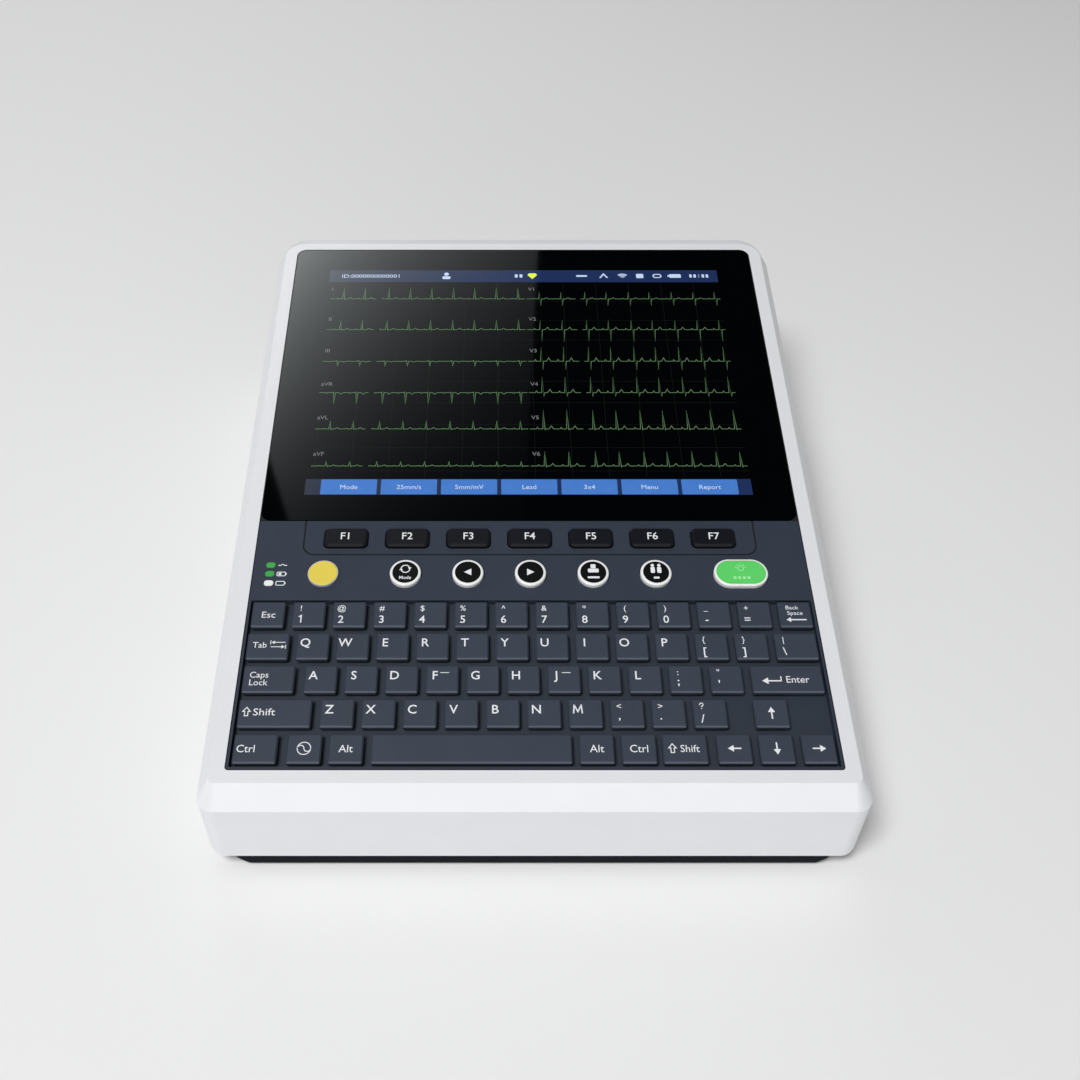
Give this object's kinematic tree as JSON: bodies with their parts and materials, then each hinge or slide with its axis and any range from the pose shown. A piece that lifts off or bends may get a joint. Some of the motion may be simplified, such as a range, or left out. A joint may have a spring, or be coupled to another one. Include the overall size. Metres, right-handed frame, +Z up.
{
  "type": "ecg machine",
  "caption": "Desk-top wedge-shaped ECG machine with a flush black screen, function keys, round buttons and a full keyboard on a sloping top, and a rear paper door.",
  "frame": {"origin": "floor level under the middle of the casing", "axes": "+X to the user's right, +Y to the rear, +Z up"},
  "size_m": [0.319, 0.3936, 0.117],
  "materials": {
    "white_shell": "satin",
    "black_base": "fine texture",
    "deck": "fine texture",
    "keycap": "fine texture",
    "function_key": "satin",
    "white_button": "satin",
    "yellow_button": "satin",
    "black_glass": "polished",
    "foam": "matte",
    "display": "lit display",
    "sheet_steel": "brushed",
    "silicone": "matte",
    "circuit_board": "solder mask",
    "connector": "moulded",
    "battery_wrap": "shrink wrap",
    "plated_steel": "nickel plated",
    "brass": "turned",
    "head_metal": "extruded",
    "rubber": "matte",
    "light_pipe": "lit",
    "gear_plastic": "moulded",
    "paper": "plain thermal paper"
  },
  "bodies": {
    "housing": {"top_cover": "white_shell", "bottom_case": "black_base", "control_panel": "deck", "screen_glass": "black_glass", "glass_gasket": "foam", "lcd_panel": "display", "screen_bracket": "sheet_steel", "keypad_mat": "silicone", "keypad_board": "circuit_board", "main_board": "circuit_board", "ecg_board": "circuit_board", "ecg_connector": "connector", "power_supply": "circuit_board", "ac_inlet": "connector", "battery_pack": "battery_wrap", "battery_cover": "black_base", "speaker": "foam", "io_ports": "plated_steel", "ground_terminal": "brass", "printer_frame": "sheet_steel", "print_head": "head_metal", "stepper_motor": "plated_steel", "rubber_feet": "rubber", "fixing_screws": "plated_steel", "status_leds": "light_pipe", "door_hinge_pins": "plated_steel"},
    "f1_key": {"f1_key": "function_key"},
    "f2_key": {"f2_key": "function_key"},
    "f3_key": {"f3_key": "function_key"},
    "f4_key": {"f4_key": "function_key"},
    "f5_key": {"f5_key": "function_key"},
    "f6_key": {"f6_key": "function_key"},
    "f7_key": {"f7_key": "function_key"},
    "power_button": {"power_button": "yellow_button"},
    "mode_button": {"mode_button": "white_button"},
    "left_button": {"left_button": "white_button"},
    "right_button": {"right_button": "white_button"},
    "print_button": {"print_button": "white_button"},
    "id_button": {"id_button": "white_button"},
    "start_button": {"start_button": "white_button"},
    "space_key": {"space_key": "keycap"},
    "enter_key": {"enter_key": "keycap"},
    "up_key": {"up_key": "keycap"},
    "down_key": {"down_key": "keycap"},
    "left_key": {"left_key": "keycap"},
    "right_key": {"right_key": "keycap"},
    "digit_row_keys": {"digit_row_keys": "keycap"},
    "q_row_keys": {"q_row_keys": "keycap"},
    "a_row_keys": {"a_row_keys": "keycap"},
    "z_row_keys": {"z_row_keys": "keycap"},
    "bottom_row_keys": {"bottom_row_keys": "keycap"},
    "platen": {"platen_roller": "rubber", "platen_shaft": "plated_steel", "platen_gear": "gear_plastic"},
    "idler": {"idler_gear": "gear_plastic"},
    "pinion": {"motor_pinion": "brass"},
    "paper": {"paper_roll": "paper", "paper_spindle": "gear_plastic"},
    "door": {"printer_door": "white_shell"},
    "latch": {"door_latch": "white_shell"}
  },
  "joints": [
    {"name": "f1_press", "type": "slide", "parent": "housing", "child": "f1_key", "axis": [0, 0.1478, -0.989], "range_m": [0, 0.0012], "stiffness_N_per_m": 250},
    {"name": "f2_press", "type": "slide", "parent": "housing", "child": "f2_key", "axis": [0, 0.1478, -0.989], "range_m": [0, 0.0012], "stiffness_N_per_m": 250},
    {"name": "f3_press", "type": "slide", "parent": "housing", "child": "f3_key", "axis": [0, 0.1478, -0.989], "range_m": [0, 0.0012], "stiffness_N_per_m": 250},
    {"name": "f4_press", "type": "slide", "parent": "housing", "child": "f4_key", "axis": [0, 0.1478, -0.989], "range_m": [0, 0.0012], "stiffness_N_per_m": 250},
    {"name": "f5_press", "type": "slide", "parent": "housing", "child": "f5_key", "axis": [0, 0.1478, -0.989], "range_m": [0, 0.0012], "stiffness_N_per_m": 250},
    {"name": "f6_press", "type": "slide", "parent": "housing", "child": "f6_key", "axis": [0, 0.1478, -0.989], "range_m": [0, 0.0012], "stiffness_N_per_m": 250},
    {"name": "f7_press", "type": "slide", "parent": "housing", "child": "f7_key", "axis": [0, 0.1478, -0.989], "range_m": [0, 0.0012], "stiffness_N_per_m": 250},
    {"name": "power_press", "type": "slide", "parent": "housing", "child": "power_button", "axis": [0, 0.1478, -0.989], "range_m": [0, 0.0012], "stiffness_N_per_m": 300},
    {"name": "mode_press", "type": "slide", "parent": "housing", "child": "mode_button", "axis": [0, 0.1478, -0.989], "range_m": [0, 0.0012], "stiffness_N_per_m": 300},
    {"name": "left_press", "type": "slide", "parent": "housing", "child": "left_button", "axis": [0, 0.1478, -0.989], "range_m": [0, 0.0012], "stiffness_N_per_m": 300},
    {"name": "right_press", "type": "slide", "parent": "housing", "child": "right_button", "axis": [0, 0.1478, -0.989], "range_m": [0, 0.0012], "stiffness_N_per_m": 300},
    {"name": "print_press", "type": "slide", "parent": "housing", "child": "print_button", "axis": [0, 0.1478, -0.989], "range_m": [0, 0.0012], "stiffness_N_per_m": 300},
    {"name": "id_press", "type": "slide", "parent": "housing", "child": "id_button", "axis": [0, 0.1478, -0.989], "range_m": [0, 0.0012], "stiffness_N_per_m": 300},
    {"name": "start_press", "type": "slide", "parent": "housing", "child": "start_button", "axis": [0, 0.1478, -0.989], "range_m": [0, 0.0012], "stiffness_N_per_m": 300},
    {"name": "space_key_press", "type": "slide", "parent": "housing", "child": "space_key", "axis": [0, 0.1478, -0.989], "range_m": [0, 0.0015], "stiffness_N_per_m": 200},
    {"name": "enter_key_press", "type": "slide", "parent": "housing", "child": "enter_key", "axis": [0, 0.1478, -0.989], "range_m": [0, 0.0015], "stiffness_N_per_m": 200},
    {"name": "up_key_press", "type": "slide", "parent": "housing", "child": "up_key", "axis": [0, 0.1478, -0.989], "range_m": [0, 0.0015], "stiffness_N_per_m": 200},
    {"name": "down_key_press", "type": "slide", "parent": "housing", "child": "down_key", "axis": [0, 0.1478, -0.989], "range_m": [0, 0.0015], "stiffness_N_per_m": 200},
    {"name": "left_key_press", "type": "slide", "parent": "housing", "child": "left_key", "axis": [0, 0.1478, -0.989], "range_m": [0, 0.0015], "stiffness_N_per_m": 200},
    {"name": "right_key_press", "type": "slide", "parent": "housing", "child": "right_key", "axis": [0, 0.1478, -0.989], "range_m": [0, 0.0015], "stiffness_N_per_m": 200},
    {"name": "digit_row_press", "type": "slide", "parent": "housing", "child": "digit_row_keys", "axis": [0, 0.1478, -0.989], "range_m": [0, 0.0015], "stiffness_N_per_m": 1500},
    {"name": "q_row_press", "type": "slide", "parent": "housing", "child": "q_row_keys", "axis": [0, 0.1478, -0.989], "range_m": [0, 0.0015], "stiffness_N_per_m": 1500},
    {"name": "a_row_press", "type": "slide", "parent": "housing", "child": "a_row_keys", "axis": [0, 0.1478, -0.989], "range_m": [0, 0.0015], "stiffness_N_per_m": 1500},
    {"name": "z_row_press", "type": "slide", "parent": "housing", "child": "z_row_keys", "axis": [0, 0.1478, -0.989], "range_m": [0, 0.0015], "stiffness_N_per_m": 1500},
    {"name": "bottom_row_press", "type": "slide", "parent": "housing", "child": "bottom_row_keys", "axis": [0, 0.1478, -0.989], "range_m": [0, 0.0015], "stiffness_N_per_m": 1500},
    {"name": "platen_spin", "type": "hinge", "parent": "housing", "child": "platen", "pos_m": [-0.02, 0.176, 0.0782], "axis": [1, 0, 0], "continuous": true},
    {"name": "idler_spin", "type": "hinge", "parent": "housing", "child": "idler", "pos_m": [0.094, 0.15818, 0.06599], "axis": [1, 0, 0], "continuous": true},
    {"name": "pinion_spin", "type": "hinge", "parent": "housing", "child": "pinion", "pos_m": [0.094, 0.144, 0.075], "axis": [1, 0, 0], "continuous": true},
    {"name": "paper_spin", "type": "hinge", "parent": "housing", "child": "paper", "pos_m": [-0.02, 0.152, 0.043], "axis": [1, 0, 0], "continuous": true},
    {"name": "door_hinge", "type": "hinge", "parent": "housing", "child": "door", "pos_m": [-0.02, 0.19504, 0.019], "axis": [-1, 0, 0], "range_deg": [0, 95]},
    {"name": "latch_slide", "type": "slide", "parent": "door", "child": "latch", "axis": [-1, 0, 0], "range_m": [0, 0.004], "stiffness_N_per_m": 250}
  ],
  "couplings": [
    {"joint": "idler_spin", "follows": "platen_spin", "ratio": -0.8},
    {"joint": "pinion_spin", "follows": "platen_spin", "ratio": 2}
  ]
}
